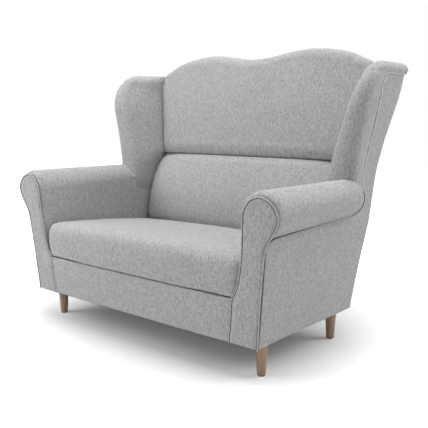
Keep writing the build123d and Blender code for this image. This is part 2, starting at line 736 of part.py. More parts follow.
with BuildPart() as arm_welt:
    with BuildSketch(front_plane(0)):
        make_face(facing_outline())
    extrude(amount=-FACING_T)
    with BuildSketch(front_plane(0)):
        make_face(facing_outline())
        offset(amount=-WELT, kind=Kind.INTERSECTION)
    extrude(amount=-FACING_T, mode=Mode.SUBTRACT)
write_pair(arm_welt, "arm_welt")

with BuildPart() as arm_front_board:
    with BuildSketch(front_plane(FACING_T + CLEAR)):
        make_face(facing_outline())
        offset(amount=-BOARD_INSET, kind=Kind.INTERSECTION)
    extrude(amount=-BOARD_T)
write_pair(arm_front_board, "arm_front_board")


ROLL_HEM_Z = ARM_Z - ARM_R * sin(radians(ROLL_UNDER)) - ROLL_HEM


def arm_section(plane, low, radius, wall_x, hem_z):
    def on_roll(degree):
        return (ARM_X + radius * cos(radians(degree)), ARM_Z + radius * sin(radians(degree)))

    under = on_roll(-ROLL_UNDER)
    inner = ARM_X - radius
    with BuildSketch(plane) as section:
        with BuildLine():
            Line((inner, low), (inner, ARM_Z))
            ThreePointArc(on_roll(180), on_roll(135), on_roll(90))
            ThreePointArc(on_roll(90), on_roll(45), on_roll(0))
            ThreePointArc(on_roll(0), on_roll(-ROLL_UNDER / 2), under)
            Polyline(under, (under[0], hem_z), (wall_x, hem_z), (wall_x, low), (inner, low))
        make_face()
    return section.sketch


def upright(y):
    return Plane(origin=(0, y, 0), x_dir=(1, 0, 0), z_dir=(0, -1, 0))


def arm_form(inset, start, slip, mode):
    """Roll, its rounded rear end and the padded inside of the arm. slip opens a hollow's ends."""
    radius = ARM_R - inset
    wall_x = ARM_X - ARM_R + ARM_WALL + slip
    end = FRONT + ARM_LENGTH - inset
    low = ARM_LOW_REAR - slip
    hem_z = ROLL_HEM_Z - slip
    nearest = arm_section(front_plane(start), ARM_LOW_FRONT - slip, radius, wall_x, hem_z)
    full = arm_section(upright(end - ARM_END), low, radius, wall_x, hem_z)
    loft([nearest, full], ruled=True, mode=mode)
    bend_radius = radius - ARM_END_SHRINK / 4
    bend = arm_section(upright(end - ARM_END / 3), low, bend_radius, wall_x, hem_z)
    last = arm_section(upright(end), low, radius - ARM_END_SHRINK, wall_x, hem_z)
    loft([full, bend, last], ruled=True, mode=mode)
    with BuildSketch(upright(end - ARM_END)) as wall:
        with BuildLine():
            Polyline(
                (ARM_X - ARM_R + inset, low),
                (ARM_X - ARM_R + inset, WING_LOW - CLEAR - inset),
                (wall_x, WING_LOW - CLEAR - inset),
                (wall_x, low),
                close=True,
            )
        make_face()
    wall_end = rear_y(ARM_LOW_REAR, FOAM_BACK) - CLEAR + slip
    extrude(wall.sketch, amount=end - ARM_END - wall_end, mode=mode)


ARM_RAIL_X = ARM_X - ARM_RAIL_IN
arm_rail_low = (ARM_RAIL_X, FRAME_FRONT, ARM_RAIL_Z)
arm_rail_high = (
    ARM_RAIL_X + ARM_RAIL_W,
    rear_y(ARM_RAIL_Z, FOAM_BACK),
    ARM_RAIL_Z + ARM_RAIL_H,
)

with BuildPart() as arm_rail:
    block(arm_rail_low, arm_rail_high)
write_pair(arm_rail, "arm_rail")

arm_rail_room = ([c - CLEAR for c in arm_rail_low], [c + CLEAR for c in arm_rail_high])

with BuildPart() as arm_cover:
    arm_form(0, FACING_T + CLEAR, 0, Mode.ADD)
    arm_form(COVER, FACING_T - COVER, COVER, Mode.SUBTRACT)
    block(*arm_rail_room, Mode.SUBTRACT)
write_pair(arm_cover, "arm_cover")

with BuildPart() as arm_foam:
    arm_form(COVER + CLEAR, FACING_T + BOARD_T + 2 * CLEAR, 0, Mode.ADD)
    block(*arm_rail_room, Mode.SUBTRACT)
write_pair(arm_foam, "arm_foam")


# Outside of the arms and wings
def welt_y(z):
    """Outer end of the wing's roll, where the outside panel begins."""
    share = (z - WING_LOW) / (WELT_HIGH_Z - WING_LOW)
    return FRONT + blend(WELT_LOW, WELT_HIGH, share)


def side_section(z, start, outer_gap, thickness, end_n):
    outer = side_x(z) - outer_gap
    end = rear_y(z, end_n)
    with BuildSketch(Plane.XY.offset(z)) as section:
        with BuildLine():
            Polyline(
                (outer, start),
                (outer, end),
                (outer - thickness, end),
                (outer - thickness, start),
                close=True,
            )
        make_face()
    return section.sketch


ROLL_SEAM_Z = ROLL_HEM_Z * cos(LEAN) - CLEAR
behind_facing = (FACING_T + CLEAR) / cos(LEAN)
behind_board = (FACING_T + BOARD_T + 2 * CLEAR) / cos(LEAN)


def side_span(levels, setback, gap, thickness, end_n):
    """Part of a panel that starts behind the leaning front."""
    loft(
        [side_section(z, front_y(z) + setback, gap, thickness, end_n) for z in levels],
        ruled=True,
    )


with BuildPart() as side_panel:
    side_span((LEG_HEIGHT, NECK_Z), behind_facing, 0, PANEL_T, 0)
    side_span((NECK_Z, ROLL_SEAM_Z), behind_board, 0, PANEL_T, 0)
    behind_arm = FRONT + ARM_LENGTH + CLEAR
    loft([side_section(z, behind_arm, 0, PANEL_T, 0) for z in (ROLL_SEAM_Z, WING_LOW)], ruled=True)
    wing_levels = (*WING_LEVELS, WING_PANEL_TOP)
    loft([side_section(z, welt_y(z) + CLEAR, 0, PANEL_T, 0) for z in wing_levels], ruled=True)
write_pair(side_panel, "side_panel")

with BuildPart() as arm_side_board:
    levels = (LEG_HEIGHT, NECK_Z, ROLL_SEAM_Z)
    side_span(levels, behind_board, PANEL_T + CLEAR, SIDE_BOARD_T, POST_FRONT + CLEAR)
write_pair(arm_side_board, "arm_side_board")


# Wings
def wing_front_y(z):
    """Front edge of the wing: upright, then a quarter round at the top corner."""
    over = max(z - (WING_TOP - WING_CORNER_R), 0.0)
    return FRONT + WING_FRONT + WING_CORNER_R - sqrt(WING_CORNER_R**2 - over**2)


def wing_root_x(z):
    """Inner edge of the wing against the back cushions."""
    lower_u = up_back(z, LOW_BACK_END_N)
    below_crease = (CREASE_U - lower_u) / LOW_BACK_END_DROP[1]
    lower_x = blend(CREASE_HALF, LOW_BACK_HALF, below_crease)
    upper_u = up_back(z, FOAM_BACK)
    upper_x = min(CREASE_HALF + (upper_u - CREASE_U) * SIDE_FLARE, TOP_HALF)
    return max(lower_x, upper_x) + WING_ROOT_GAP


def wing_section(z, inset, slip, welt, root, run=0.0):
    """run carries the inner face on past the rear of the wing, to open a hollow there."""
    top_over = max(z + inset - (WING_TOP - WING_TOP_R), 0.0)
    shrink = WING_TOP_R - sqrt(WING_TOP_R**2 - top_over**2) + inset
    climb = (z - WING_IN_Z) / (WING_IN_HIGH_Z - WING_IN_Z)
    inner = blend(WING_IN_LOW, WING_IN_HIGH, climb) + shrink
    outer = side_x(z) + WING_PROUD - shrink
    back_x = min(side_x(z) - PANEL_T - CLEAR, outer - WING_PROUD) + slip
    tip = wing_front_y(min(z + inset, WING_TOP)) + inset
    middle = (inner + outer) / 2
    nose = tip + WING_NOSE
    root_x = wing_root_x(z) + inset
    corner_x = root_x + (root_x - inner) * run / (root - nose)
    inner_mid = (blend(inner, middle, ARC_SHARE), blend(tip, nose, ARC_SHARE))
    outer_mid = (blend(outer, middle, ARC_SHARE), blend(tip, nose, ARC_SHARE))
    with BuildSketch(Plane.XY.offset(z)) as section:
        with BuildLine():
            ThreePointArc((inner, nose), inner_mid, (middle, tip))
            ThreePointArc((middle, tip), outer_mid, (outer, nose))
            Polyline(
                (outer, nose),
                (outer, welt - inset),
                (back_x, welt - inset),
                (back_x, root + run),
                (corner_x, root + run),
                (inner, nose),
            )
        make_face()
    return section.sketch


def wing_form(inset, slip, mode):
    sections = []
    for z in (WING_LOW - slip, *WING_LEVELS[1:], WING_PANEL_TOP + CLEAR):
        sections.append(wing_section(z, inset, slip, welt_y(z), rear_y(z, FOAM_BACK), slip))
    loft(sections, ruled=True, mode=mode)
    crown = []
    for share in CROWN_SHARES:
        z = WING_PANEL_TOP + CLEAR + share * (WING_TOP - WING_PANEL_TOP - CLEAR - inset)
        crown.append(wing_section(z, inset, slip, rear_y(z) - WELT, rear_y(z) - inset))
    loft(crown, ruled=True, mode=mode)


def wing_board_form(grow, mode):
    low = ARM_RAIL_Z + ARM_RAIL_H + CLEAR - grow
    start = FRONT + WING_BOARD_FRONT - grow
    sections = []
    for z in (low, *WING_LEVELS[1:-1]):
        gap = PANEL_T + CLEAR - grow
        sections.append(side_section(z, start, gap, BOARD_T + 2 * grow, POST_FRONT + CLEAR))
    loft(sections, ruled=True, mode=mode)


with BuildPart() as wing_board:
    wing_board_form(0, Mode.ADD)
write_pair(wing_board, "wing_board")

with BuildPart() as wing_cover:
    wing_form(0, 0, Mode.ADD)
    wing_form(COVER, COVER, Mode.SUBTRACT)
    arm_form(-CLEAR, FACING_T, 0, Mode.SUBTRACT)
write_pair(wing_cover, "wing_cover")

with BuildPart() as wing_foam:
    wing_form(COVER + CLEAR, 0, Mode.ADD)
    wing_board_form(CLEAR, Mode.SUBTRACT)
    arm_form(-CLEAR, FACING_T, 0, Mode.SUBTRACT)
    block(*arm_rail_room, Mode.SUBTRACT)
write_pair(wing_foam, "wing_foam")

# Front panel under the seat
with BuildPart() as front_panel:
    with BuildSketch(front_plane(0)):
        with BuildLine():
            Polyline(
                (FACE_IN_LOW - CLEAR, LEG_HEIGHT),
                (FACE_IN_SEAM - CLEAR, SEAM_Z - CLEAR),
                (CLEAR - FACE_IN_SEAM, SEAM_Z - CLEAR),
                (CLEAR - FACE_IN_LOW, LEG_HEIGHT),
                close=True,
            )
        make_face()
    extrude(amount=-FACING_T)
write(front_panel, "front_panel")
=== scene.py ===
import bpy
import bmesh
import json
import numpy as np
from math import cos, pi, radians, sin, sqrt, tan
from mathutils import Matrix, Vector


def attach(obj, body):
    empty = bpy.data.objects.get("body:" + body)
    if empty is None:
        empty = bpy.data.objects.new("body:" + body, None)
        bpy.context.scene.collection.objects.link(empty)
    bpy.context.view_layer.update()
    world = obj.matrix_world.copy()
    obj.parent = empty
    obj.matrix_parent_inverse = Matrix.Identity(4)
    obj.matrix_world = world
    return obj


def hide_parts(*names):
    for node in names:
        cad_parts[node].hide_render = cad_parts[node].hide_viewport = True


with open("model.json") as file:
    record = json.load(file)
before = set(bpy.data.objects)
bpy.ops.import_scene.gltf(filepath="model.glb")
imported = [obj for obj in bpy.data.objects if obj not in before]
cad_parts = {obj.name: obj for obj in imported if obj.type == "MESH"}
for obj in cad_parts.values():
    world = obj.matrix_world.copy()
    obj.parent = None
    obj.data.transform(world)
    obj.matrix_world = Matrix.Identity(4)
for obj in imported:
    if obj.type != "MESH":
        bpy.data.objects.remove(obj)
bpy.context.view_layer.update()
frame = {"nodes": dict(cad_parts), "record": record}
nodes = frame["nodes"]
scene = bpy.context.scene
MM = 0.001

# Sizes in millimetres, the same as in the part's source
FRONT = -409.8
BASE_H = 120.0
BASE_DEPTH = 603.0
BASE_HALF = 577.0
LEAN = radians(2.6)
RAKE = radians(14.0)
NECK_Z = 452.0
NECK_HALF = 612.0
FLARE_Z = 600.0
PANEL_TOP = 1014.0
PANEL_HALF = 658.0
SEAM_Z = 277.0
CREASE_U = 566.0
CREASE_HALF = 488.0
TOP_HALF = 562.0
DIP_U = 1000.0
HUMP_X = 270.0
FOAM_BACK = 37.4
REAR = FRONT + BASE_DEPTH

# The fabric's own shape, beyond the part's sizes
EDGE_BOW = 12.5  # rear edge, from its middle to its ends
EDGE_IN = 3.5  # rear edge at its middle, in front of the part's
FOOT_FLARE = 7.0  # rear edge at the foot
FOOT_RUN = 220.0
WING_FULLER = 6.0  # outside of the wing near its top


def ease(t):
    t = min(max(t, 0.0), 1.0)
    return t * t * (3 - 2 * t)


def blend(a, b, t):
    return a + (b - a) * min(max(t, 0.0), 1.0)


def round_share(t):
    """Quarter-circle rise from 0 to 1."""
    t = min(max(t, 0.0), 1.0)
    return sqrt(1 - (1 - t) ** 2)


def front_y(z):
    return FRONT - (z - BASE_H) * tan(LEAN)


def rear_y(z, n=0.0):
    return REAR + (z - BASE_H) * tan(RAKE) - n / cos(RAKE)


def rear_edge(z):
    """Rear edge of the fabric, which hollows a little between the flared foot and the top."""
    middle = (z - BASE_H) / (PANEL_TOP - BASE_H) * 2 - 1
    foot = max(1 - (z - BASE_H) / FOOT_RUN, 0.0)
    return rear_y(z) + EDGE_BOW * middle * middle - EDGE_IN + FOOT_FLARE * min(foot, 1.0) ** 2


def side_x(z):
    low = blend(BASE_HALF, NECK_HALF, (z - BASE_H) / (NECK_Z - BASE_H))
    fuller = WING_FULLER * ease((z - 760.0) / 200.0)
    return low + (PANEL_HALF - NECK_HALF) * ease((z - FLARE_Z) / (PANEL_TOP - FLARE_Z)) + fuller


def on_front(x, v, depth):
    """Point of the leaning front: x across, v up along it, depth behind it."""
    y = FRONT + BASE_H * tan(LEAN) - v * sin(LEAN) + depth * cos(LEAN)
    return (x, y, v * cos(LEAN) + depth * sin(LEAN))


def on_back(x, u, n):
    """Point of the raked back: u up along it, n in front of its rear face."""
    return (x, REAR + u * sin(RAKE) - n * cos(RAKE), BASE_H + u * cos(RAKE) + n * sin(RAKE))


# Mesh helpers
def make(name, verts, faces):
    mesh = bpy.data.meshes.new(name)
    mesh.from_pydata([(x * MM, y * MM, z * MM) for x, y, z in verts], [], faces)
    work = bmesh.new()
    work.from_mesh(mesh)
    bmesh.ops.recalc_face_normals(work, faces=work.faces)
    work.to_mesh(mesh)
    work.free()
    mesh.polygons.foreach_set("use_smooth", [True] * len(mesh.polygons))
    obj = bpy.data.objects.new(name, mesh)
    scene.collection.objects.link(obj)
    return obj


def loft_data(loops, base=0):
    """Closed skin through loops of equal length, with both ends filled."""
    size = len(loops[0])
    verts = [p for loop in loops for p in loop]
    faces = []
    for i in range(len(loops) - 1):
        for j in range(size):
            k = (j + 1) % size
            a = base + i * size
            faces.append((a + j, a + k, a + size + k, a + size + j))
    faces.append(tuple(base + j for j in range(size)))
    last = base + (len(loops) - 1) * size
    faces.append(tuple(last + j for j in range(size)))
    return verts, faces


def loft(name, *forms):
    verts = []
    faces = []
    for loops in forms:
        v, f = loft_data(loops, len(verts))
        verts += v
        faces += f
    return make(name, verts, faces)


def tube(name, path, radius, sides=10):
    """Round cord along a path, as trim lies in a seam."""
    points = [Vector(p) for p in path]
    loops = []
    count = len(points)
    normal = None
    for i, p in enumerate(points):
        before = points[max(i - 1, 0)]
        after = points[min(i + 1, count - 1)]
        along = (after - before).normalized()
        if normal is None:
            normal = along.orthogonal().normalized()
        normal = (normal - along * normal.dot(along)).normalized()
        other = along.cross(normal)
        ring = []
        for k in range(sides):
            a = 2 * pi * k / sides
            ring.append(tuple(p + radius * (cos(a) * normal + sin(a) * other)))
        loops.append(ring)
    verts, faces = loft_data(loops)
    return make(name, verts, faces)


def resample(points, step=None, count=None):
    """Smooth line through given points, with even spacing."""
    pts = [np.array(p, float) for p in points]
    last = len(pts) - 1
    out = []
    for i in range(last):
        p0 = pts[max(i - 1, 0)]
        p1 = pts[i]
        p2 = pts[i + 1]
        p3 = pts[min(i + 2, last)]
        for k in range(12):
            t = k / 12
            out.append(
                0.5
                * (
                    2 * p1
                    + (p2 - p0) * t
                    + (2 * p0 - 5 * p1 + 4 * p2 - p3) * t * t
                    + (3 * p1 - p0 - 3 * p2 + p3) * t**3
                )
            )
    out.append(pts[-1])
    run = np.concatenate([[0], np.cumsum([np.linalg.norm(b - a) for a, b in zip(out, out[1:])])])
    spans = count - 1 if count else max(int(run[-1] / step), 2)
    marks = np.linspace(0, run[-1], spans + 1)
    line = np.array(out)
    even = [np.interp(marks, run, line[:, c]) for c in range(line.shape[1])]
    return [tuple(p) for p in np.array(even).T]


def settle(obj):
    """Applies the object's modifiers."""
    graph = bpy.context.evaluated_depsgraph_get()
    mesh = bpy.data.meshes.new_from_object(obj.evaluated_get(graph))
    old = obj.data
    obj.modifiers.clear()
    obj.data = mesh
    bpy.data.meshes.remove(old)
    mesh.polygons.foreach_set("use_smooth", [True] * len(mesh.polygons))


def coords(obj):
    co = np.zeros(len(obj.data.vertices) * 3)
    obj.data.vertices.foreach_get("co", co)
    return co.reshape(-1, 3)


def put(obj, co):
    obj.data.vertices.foreach_set("co", np.ascontiguousarray(co).ravel())
    obj.data.update()


def remesh(obj, voxel, rounds):
    step = obj.modifiers.new("Voxels", "REMESH")
    step.mode = "VOXEL"
    step.voxel_size = voxel * MM
    soft = obj.modifiers.new("Soften", "SMOOTH")
    soft.factor = 0.5
    soft.iterations = rounds
    settle(obj)


# Cloth simulation of the cushions, distances in millimetres
PRESSURE = 4.0
FRAMES = 20
START_IN = 3.0  # start inside the form
MOST_OUT = 7.0  # end outside the form
MOST_ASIDE = 1.0


def inflate(obj, least):
    """Cloth under inner pressure, held between two distances outside the starting form."""
    start = coords(obj)
    normals = np.zeros(len(obj.data.vertices) * 3)
    obj.data.vertices.foreach_get("normal", normals)
    normals = normals.reshape(-1, 3)
    put(obj, start - normals * START_IN * MM)
    cloth = obj.modifiers.new("Cloth", "CLOTH")
    rules = cloth.settings
    rules.quality = 5
    rules.mass = 0.3
    rules.tension_stiffness = 20
    rules.compression_stiffness = 20
    rules.shear_stiffness = 8
    rules.bending_stiffness = 0.6
    rules.use_pressure = True
    rules.uniform_pressure_force = PRESSURE
    rules.effector_weights.gravity = 0
    cloth.collision_settings.use_collision = False
    cloth.collision_settings.use_self_collision = False
    scene.frame_start = 1
    scene.frame_end = FRAMES
    for number in range(1, FRAMES + 1):
        scene.frame_set(number)
    graph = bpy.context.evaluated_depsgraph_get()
    shape = obj.evaluated_get(graph).to_mesh()
    after = np.zeros(len(shape.vertices) * 3)
    shape.vertices.foreach_get("co", after)
    obj.evaluated_get(graph).to_mesh_clear()
    move = after.reshape(-1, 3) - start
    out = (move * normals).sum(axis=1, keepdims=True)
    aside = move - out * normals
    reach = np.linalg.norm(aside, axis=1, keepdims=True)
    aside *= np.minimum(1.0, MOST_ASIDE * MM / np.maximum(reach, 1e-9))
    out = np.clip(out, least * MM, MOST_OUT * MM)
    obj.modifiers.clear()
    scene.frame_set(1)
    put(obj, start + aside + out * normals)


def soften(obj, rounds):
    soft = obj.modifiers.new("Soften", "SMOOTH")
    soft.factor = 0.5
    soft.iterations = rounds
    settle(obj)


def keep_within(obj, low, high):
    co = coords(obj)
    put(obj, np.clip(co, np.array(low) * MM, np.array(high) * MM))


def from_node(node, name):
    """New piece that starts from a CAD node's shape."""
    obj = bpy.data.objects.new(name, nodes[node].data.copy())
    obj.data.materials.clear()
    scene.collection.objects.link(obj)
    return obj


def divide(obj):
    step = obj.modifiers.new("Finer", "SUBSURF")
    step.levels = 1
    step.render_levels = 1
    settle(obj)


def flip(obj):
    """Turns a right-hand mesh into the left-hand one."""
    obj.data.transform(((-1, 0, 0, 0), (0, 1, 0, 0), (0, 0, 1, 0), (0, 0, 0, 1)))
    obj.data.flip_normals()


def mirrored(obj, name):
    other = bpy.data.objects.new(name, obj.data.copy())
    scene.collection.objects.link(other)
    flip(other)
    return other


# Materials
def graph(name):
    mat = bpy.data.materials.new(name)
    mat.use_nodes = True
    tree = mat.node_tree
    shader = tree.nodes["Principled BSDF"]

    def node(kind, **values):
        n = tree.nodes.new(kind)
        for key, value in values.items():
            if key in n.inputs:
                n.inputs[key].default_value = value
            else:
                setattr(n, key, value)
        return n

    def math(op, a, b=None):
        n = tree.nodes.new("ShaderNodeMath")
        n.operation = op
        for i, v in enumerate((a, b)):
            if v is None:
                continue
            if isinstance(v, (int, float)):
                n.inputs[i].default_value = v
            else:
                tree.links.new(v, n.inputs[i])
        return n.outputs[0]

    return mat, tree, shader, node, math


def ramp(tree, source, stops):
    n = tree.nodes.new("ShaderNodeValToRGB")
    tree.links.new(source, n.inputs[0])
    while len(n.color_ramp.elements) < len(stops):
        n.color_ramp.elements.new(0.5)
    for element, (place, colour) in zip(n.color_ramp.elements, stops):
        element.position = place
        element.color = (*colour, 1)
    return n.outputs[0]


def upholstery(name, tone):
    """Melange weave: long pale and dark threads that run down each face, and a fine thread relief."""
    mat, tree, shader, node, math = graph(name)
    link = tree.links.new
    place = node("ShaderNodeTexCoord").outputs["Object"]
    split = node("ShaderNodeSeparateXYZ")
    link(place, split.inputs[0])
    x, y, z = split.outputs
    face = node("ShaderNodeSeparateXYZ")
    link(node("ShaderNodeNewGeometry").outputs["Normal"], face.inputs[0])
    sideways = math("ABSOLUTE", face.outputs[0])
    turn = node("ShaderNodeMapRange", interpolation_type="SMOOTHSTEP")
    link(sideways, turn.inputs["Value"])
    turn.inputs["From Min"].default_value = 0.62
    turn.inputs["From Max"].default_value = 0.80
    behind = math("GREATER_THAN", face.outputs[1], 0.3)
    down = math("ADD", y, math("MULTIPLY", z, math("SUBTRACT", 1.0, math("MULTIPLY", behind, 2.0))))

    def threads(across, along, fine, long):
        """One set of parallel threads, each cut into lengths of its own tone."""
        line = math("FLOOR", math("MULTIPLY", across, fine))
        start = node("ShaderNodeTexWhiteNoise", noise_dimensions="1D")
        link(line, start.inputs["W"])
        shift = math("MULTIPLY", start.outputs[0], 9.0)
        piece = math("FLOOR", math("ADD", math("MULTIPLY", along, long), shift))
        spot = node("ShaderNodeCombineXYZ")
        link(line, spot.inputs[0])
        link(piece, spot.inputs[1])
        tint = node("ShaderNodeTexWhiteNoise", noise_dimensions="2D")
        link(spot.outputs[0], tint.inputs["Vector"])
        return tint.outputs[0]

    def both(fine, long, swap=False):
        pick = node("ShaderNodeMix")
        link(turn.outputs[0], pick.inputs["Factor"])
        link(threads(down, x, fine, long) if swap else threads(x, down, fine, long), pick.inputs[2])
        link(threads(z, y, fine, long) if swap else threads(y, z, fine, long), pick.inputs[3])
        return pick.outputs[0]

    streak = both(1000.0, 105.0)
    fleck = both(1000.0, 280.0, True)
    broad = node("ShaderNodeTexNoise", Scale=3.2, Detail=2.0)
    link(place, broad.inputs["Vector"])
    value = math("ADD", math("MULTIPLY", streak, 0.55), math("MULTIPLY", fleck, 0.45))
    value = math("ADD", value, math("MULTIPLY", math("SUBTRACT", broad.outputs["Fac"], 0.5), 0.10))
    dark = tuple(c * 0.55 for c in tone)
    pale = tuple(min(c * 1.45, 1.0) for c in tone)
    link(ramp(tree, value, ((0.08, dark), (0.92, pale))), shader.inputs["Base Color"])
    weft = node("ShaderNodeTexWave", Scale=1.0, wave_type="BANDS", bands_direction="X")
    warp_spot = node("ShaderNodeCombineXYZ")
    link(math("MULTIPLY", math("ADD", x, y), 220.0), warp_spot.inputs[0])
    link(warp_spot.outputs[0], weft.inputs["Vector"])
    relief = math("ADD", math("MULTIPLY", fleck, 0.5), math("MULTIPLY", streak, 0.5))
    relief = math("ADD", relief, math("MULTIPLY", weft.outputs["Fac"], 0.10))
    bump = node("ShaderNodeBump", Strength=0.35, Distance=0.0012)
    link(relief, bump.inputs["Height"])
    link(bump.outputs[0], shader.inputs["Normal"])
    rough = node("ShaderNodeMapRange")
    link(fleck, rough.inputs["Value"])
    rough.inputs["To Min"].default_value = 0.86
    rough.inputs["To Max"].default_value = 1.0
    link(rough.outputs[0], shader.inputs["Roughness"])
    shader.inputs["Specular IOR Level"].default_value = 0.15
    shader.inputs["Sheen Weight"].default_value = 0.12
    shader.inputs["Sheen Roughness"].default_value = 0.5
    return mat


def timber(name, pale, dark, scale, rough):
    """Straight grain, long in the direction where scale is small."""
    mat, tree, shader, node, _ = graph(name)
    link = tree.links.new
    spread = node("ShaderNodeMapping")
    spread.inputs["Scale"].default_value = scale
    link(node("ShaderNodeTexCoord").outputs["Object"], spread.inputs[0])
    grain = node("ShaderNodeTexNoise", Scale=1.0, Detail=6.0, Roughness=0.62, Distortion=0.4)
    link(spread.outputs[0], grain.inputs["Vector"])
    link(ramp(tree, grain.outputs["Fac"], ((0.30, dark), (0.68, pale))), shader.inputs["Base Color"])
    bump = node("ShaderNodeBump", Strength=0.15, Distance=0.0006)
    link(grain.outputs["Fac"], bump.inputs["Height"])
    link(bump.outputs[0], shader.inputs["Normal"])
    wear = node("ShaderNodeMapRange")
    link(grain.outputs["Fac"], wear.inputs["Value"])
    wear.inputs["To Min"].default_value = rough - 0.08
    wear.inputs["To Max"].default_value = rough + 0.12
    link(wear.outputs[0], shader.inputs["Roughness"])
    return mat


def speckled(name, pale, dark, scale, rough, metal=0.0, relief=0.2):
    mat, tree, shader, node, _ = graph(name)
    link = tree.links.new
    cloud = node("ShaderNodeTexNoise", Scale=scale, Detail=4.0, Roughness=0.6)
    link(node("ShaderNodeTexCoord").outputs["Object"], cloud.inputs["Vector"])
    link(ramp(tree, cloud.outputs["Fac"], ((0.32, dark), (0.68, pale))), shader.inputs["Base Color"])
    bump = node("ShaderNodeBump", Strength=relief, Distance=0.0008)
    link(cloud.outputs["Fac"], bump.inputs["Height"])
    link(bump.outputs[0], shader.inputs["Normal"])
    shader.inputs["Metallic"].default_value = metal
    wear = node("ShaderNodeMapRange")
    link(cloud.outputs["Fac"], wear.inputs["Value"])
    wear.inputs["To Min"].default_value = max(rough - 0.1, 0.05)
    wear.inputs["To Max"].default_value = min(rough + 0.1, 1.0)
    link(wear.outputs[0], shader.inputs["Roughness"])
    return mat


FABRIC = upholstery("melange_fabric", (0.400, 0.398, 0.394))
PIPING = upholstery("piping_fabric", (0.460, 0.458, 0.453))
# Painted highlight: the wing welt is toned far paler than the cover, standing in for the light caught along
# the cord
WELT_HIGHLIGHT = upholstery("welt_fabric", (0.680, 0.678, 0.672))
# Painted shade: the two darkest tones colour thin cords in the seams and the back crease, which stand in for
# the shadow there
SEAM_SHADE = upholstery("painted_seam_shade", (0.070, 0.070, 0.069))
SOFT_SEAM_SHADE = upholstery("soft_painted_seam_shade", (0.130, 0.130, 0.128))
LEG_WOOD = timber("beech", (0.420, 0.285, 0.195), (0.270, 0.172, 0.114), (95.0, 95.0, 7.0), 0.48)
SOFTWOOD = timber("softwood", (0.56, 0.40, 0.24), (0.40, 0.26, 0.14), (9.0, 60.0, 60.0), 0.7)
PLYWOOD = timber("plywood", (0.60, 0.45, 0.29), (0.47, 0.33, 0.19), (40.0, 14.0, 40.0), 0.7)
FIBRE = speckled("fibreboard", (0.26, 0.17, 0.10), (0.18, 0.11, 0.06), 220.0, 0.8)
STEEL = speckled("drawn_steel", (0.34, 0.34, 0.35), (0.22, 0.22, 0.23), 160.0, 0.38, 1.0, 0.1)
ZINC = speckled("zinc_plate", (0.58, 0.58, 0.58), (0.46, 0.46, 0.46), 300.0, 0.32, 1.0, 0.1)
GLIDE = speckled("glide_plastic", (0.035, 0.035, 0.035), (0.022, 0.022, 0.022), 400.0, 0.55)
DUST = speckled("dust_cloth", (0.030, 0.030, 0.031), (0.014, 0.014, 0.015), 700.0, 0.95, 0.0, 0.5)
FELT = speckled("felt", (0.20, 0.19, 0.17), (0.12, 0.11, 0.10), 500.0, 0.97, 0.0, 0.6)
WEBBING = speckled("webbing", (0.10, 0.08, 0.06), (0.05, 0.04, 0.03), 600.0, 0.9, 0.0, 0.5)
FOAM = speckled("foam", (0.80, 0.76, 0.60), (0.70, 0.66, 0.50), 350.0, 0.95, 0.0, 0.4)

SLOT_LOOKS = {
    "frame_wood": SOFTWOOD,
    "plywood": PLYWOOD,
    "fibreboard": FIBRE,
    "leg_wood": LEG_WOOD,
    "spring_steel": STEEL,
    "hardware_steel": ZINC,
    "glide_plastic": GLIDE,
    "dust_cloth": DUST,
    "felt_pad": FELT,
    "webbing": WEBBING,
    "foam": FOAM,
    "upholstery": FABRIC,
    "welt_fabric": PIPING,
}
for part in frame["record"]["subparts"]:
    obj = nodes[part["node"]]
    obj.data.materials.clear()
    obj.data.materials.append(SLOT_LOOKS[part["material_slot"]])


def dress(obj, material, slot, *replaced):
    obj.data.materials.clear()
    obj.data.materials.append(material)
    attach(obj, "root")
    if replaced:
        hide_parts(*replaced)


# Camera
camera = bpy.data.objects.new("camera", bpy.data.cameras.new("camera"))
scene.collection.objects.link(camera)
camera.data.sensor_width = 36.0
camera.data.lens = 52.15
camera.location = (1.6651, -1.5105 + FRONT * MM, 0.8492)
camera.rotation_euler = (radians(90 - 8.91), radians(0.15), radians(39.87))
camera.data.clip_end = 60
scene.camera = camera

CUSHION_VOXEL = 7.5
FINE_VOXEL = 4.5


# Seat and back cushions: drawn in a little, then filled out by a cloth simulation
def cushion(obj, name_of_nodes, low, high, shape=None, least=2.0):
    remesh(obj, CUSHION_VOXEL, 3)
    if shape:
        put(obj, shape(coords(obj) / MM) * MM)
    inflate(obj, least)
    keep_within(obj, low, high)
    soften(obj, 5)
    divide(obj)
    dress(obj, FABRIC, "upholstery", *name_of_nodes)


seat = from_node("seat_foam", "seat_cushion")
SEAT_WIDER = 1.016
put(seat, coords(seat) * np.array((SEAT_WIDER, 1.0, 1.0)))
SEAT_CORNER_X = 456.0  # where the front corners start to round
SEAT_CORNER_RUN = 56.0
SEAT_CORNER_DEPTH = 110.0
SEAT_CORNER_BACK = 28.0


def seat_ends(co):
    """Rounds the seat's front corners back to the arm facings."""
    t = np.clip((np.abs(co[:, 0]) - SEAT_CORNER_X) / SEAT_CORNER_RUN, 0, 1)
    near = np.clip((FRONT + SEAT_CORNER_DEPTH - co[:, 1]) / SEAT_CORNER_DEPTH, 0, 1)
    co[:, 1] += SEAT_CORNER_BACK * (1 - np.sqrt(1 - t * t)) * near
    return co


seat_nodes = ("seat_cover", "seat_foam", "seat_base_foam")
cushion(seat, seat_nodes, (-515, -440, SEAM_Z), (515, 166, 428), seat_ends)

# Profiles of the lumbar cushion's front, as depth behind the front edge of the base and height
LUMBAR_MID = (
    (572, 352), (563, 380), (560, 430), (570, 490), (589, 545),
    (614, 600), (637, 642), (653, 666), (684, 679),
)
LUMBAR_END = (
    (596, 352), (594, 380), (596, 421), (606, 470), (620, 515),
    (637, 560), (658, 600), (682, 634), (708, 657), (732, 671),
)
LUMBAR_HALF = 515.0
LUMBAR_LOW = 352.0
LUMBAR_BACK = 39.0  # rear of the cushion in front of the rear face


